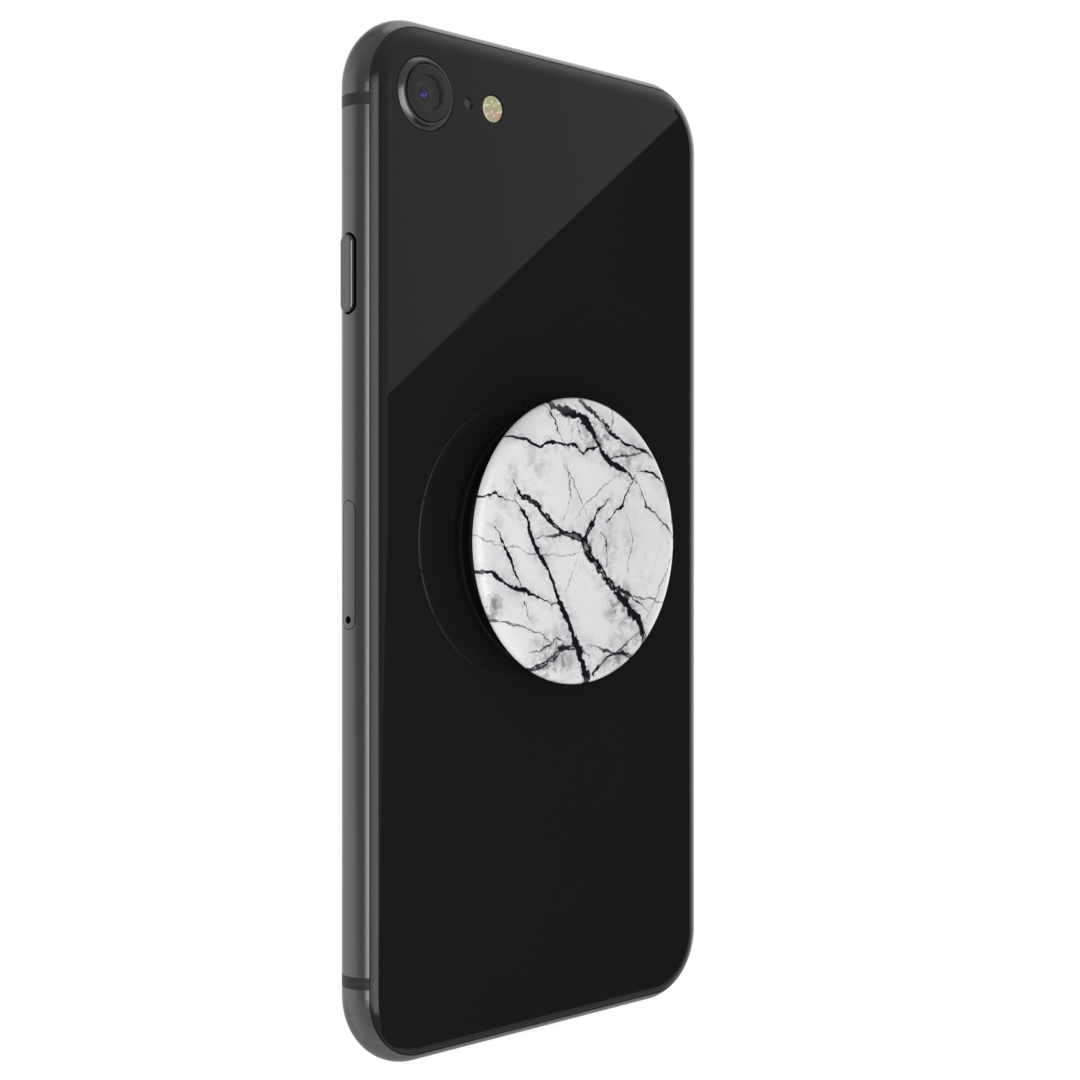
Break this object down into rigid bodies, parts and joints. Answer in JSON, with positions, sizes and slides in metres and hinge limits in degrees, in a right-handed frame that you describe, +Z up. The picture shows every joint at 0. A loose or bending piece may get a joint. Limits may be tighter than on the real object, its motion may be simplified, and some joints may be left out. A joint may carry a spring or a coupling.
{
  "type": "smartphone",
  "caption": "Slim smartphone with a black glass back, rounded metal frame, rear camera and a round folding marble grip in the middle of its back.",
  "frame": {"origin": "middle of the bottom edge at mid thickness, at the mouth of the charge port", "axes": "+Z up along the phone to the camera end, the screen faces -Y, the back faces +Y, +X towards the side button"},
  "size_m": [0.0684, 0.014, 0.1384],
  "materials": {
    "frame_alloy": "anodised, satin",
    "key_alloy": "anodised, satin",
    "band_polymer": "satin polymer",
    "rear_glass": "polished, black behind",
    "cover_glass": "polished, black behind",
    "seal": "matte",
    "plate_alloy": "rolled sheet",
    "display": "polished, switched off",
    "home_cap": "polished",
    "steel_ring": "brushed",
    "mesh": "woven mesh, blackened",
    "module_black": "moulded",
    "camera_ring": "machined and anodised",
    "lens_glass": "coated",
    "sensor": "coated",
    "flash_glass": "faceted",
    "flash_phosphor": "phosphor",
    "spring_steel": "stamped sheet",
    "card": "moulded",
    "battery_wrap": "foil pouch",
    "adhesive": "foam tape",
    "board": "solder mask",
    "tungsten": "sintered",
    "gold": "plated",
    "flex": "polyimide",
    "copper": "enamelled wire",
    "ferrite": "sheet",
    "grip_plastic": "satin polycarbonate",
    "grip_elastomer": "matte elastomer",
    "grip_marble": "glossy marble print"
  },
  "bodies": {
    "phone": {"frame_top": "frame_alloy", "frame_bottom": "frame_alloy", "frame_right_rail": "frame_alloy", "frame_left_rail": "frame_alloy", "antenna_bands": "band_polymer", "chassis_plate": "plate_alloy", "rear_gasket": "seal", "rear_glass": "rear_glass", "display_bezel": "seal", "display_shield": "plate_alloy", "display_panel": "display", "cover_glass": "cover_glass", "home_button": "home_cap", "home_button_ring": "steel_ring", "earpiece_mesh": "mesh", "earpiece_speaker": "module_black", "front_camera": "module_black", "camera_bezel": "camera_ring", "camera_window": "lens_glass", "camera_module": "plate_alloy", "camera_sensor": "sensor", "flash_lens": "flash_glass", "flash_led": "flash_phosphor", "microphones": "module_black", "side_key_switch": "spring_steel", "volume_key_switches": "spring_steel", "mute_slide_switch": "module_black", "sim_reader": "spring_steel", "battery": "battery_wrap", "battery_adhesive": "adhesive", "logic_board": "board", "board_shields": "plate_alloy", "bracket_screws": "steel_ring", "vibration_motor": "plate_alloy", "loudspeaker": "module_black", "acoustic_meshes": "mesh", "charge_port": "spring_steel", "port_tongue": "module_black", "port_contacts": "gold", "bottom_screws": "steel_ring", "dock_flex": "flex", "charging_coil": "copper", "coil_ferrite": "ferrite", "grip_adhesive": "adhesive", "grip_base": "grip_plastic", "grip_lower_bellows": "grip_elastomer"},
    "side_button": {"side_button": "key_alloy"},
    "volume_up_button": {"volume_up_button": "key_alloy"},
    "volume_down_button": {"volume_down_button": "key_alloy"},
    "mute_switch": {"mute_switch": "key_alloy"},
    "sim_tray": {"sim_tray": "frame_alloy", "sim_card": "card"},
    "vibration_mass": {"vibration_mass": "tungsten"},
    "camera_barrel": {"camera_lens_barrel": "module_black", "camera_lens": "lens_glass"},
    "grip_middle": {"grip_mid_ring": "grip_elastomer", "grip_upper_bellows": "grip_elastomer"},
    "grip_button": {"grip_button": "grip_elastomer"},
    "grip_top": {"grip_top_shell": "grip_plastic", "grip_top_insert": "grip_marble"}
  },
  "joints": [
    {"name": "side_button_press", "type": "slide", "parent": "phone", "child": "side_button", "axis": [-1, 0, 0], "range_m": [0, 0.00025], "stiffness_N_per_m": 4000},
    {"name": "volume_up_press", "type": "slide", "parent": "phone", "child": "volume_up_button", "axis": [1, 0, 0], "range_m": [0, 0.00025], "stiffness_N_per_m": 4000},
    {"name": "volume_down_press", "type": "slide", "parent": "phone", "child": "volume_down_button", "axis": [1, 0, 0], "range_m": [0, 0.00025], "stiffness_N_per_m": 4000},
    {"name": "mute_slide", "type": "slide", "parent": "phone", "child": "mute_switch", "axis": [0, 1, 0], "range_m": [0, 0.001]},
    {"name": "sim_tray_slide", "type": "slide", "parent": "phone", "child": "sim_tray", "axis": [1, 0, 0], "range_m": [0, 0.014]},
    {"name": "vibration_slide", "type": "slide", "parent": "phone", "child": "vibration_mass", "axis": [1, 0, 0], "range_m": [-0.001, 0.001], "stiffness_N_per_m": 4000},
    {"name": "camera_focus", "type": "slide", "parent": "phone", "child": "camera_barrel", "axis": [0, 1, 0], "range_m": [0, 0.0002], "stiffness_N_per_m": 400},
    {"name": "grip_lower_stage", "type": "slide", "parent": "phone", "child": "grip_middle", "axis": [0, 1, 0], "range_m": [0, 0.009]},
    {"name": "grip_upper_stage", "type": "slide", "parent": "grip_middle", "child": "grip_button", "axis": [0, 1, 0], "range_m": [0, 0.009]},
    {"name": "grip_top_turn", "type": "hinge", "parent": "grip_button", "child": "grip_top", "pos_m": [0, 0.00815, 0.0692], "axis": [0, 1, 0], "range_deg": [0, 90]}
  ]
}
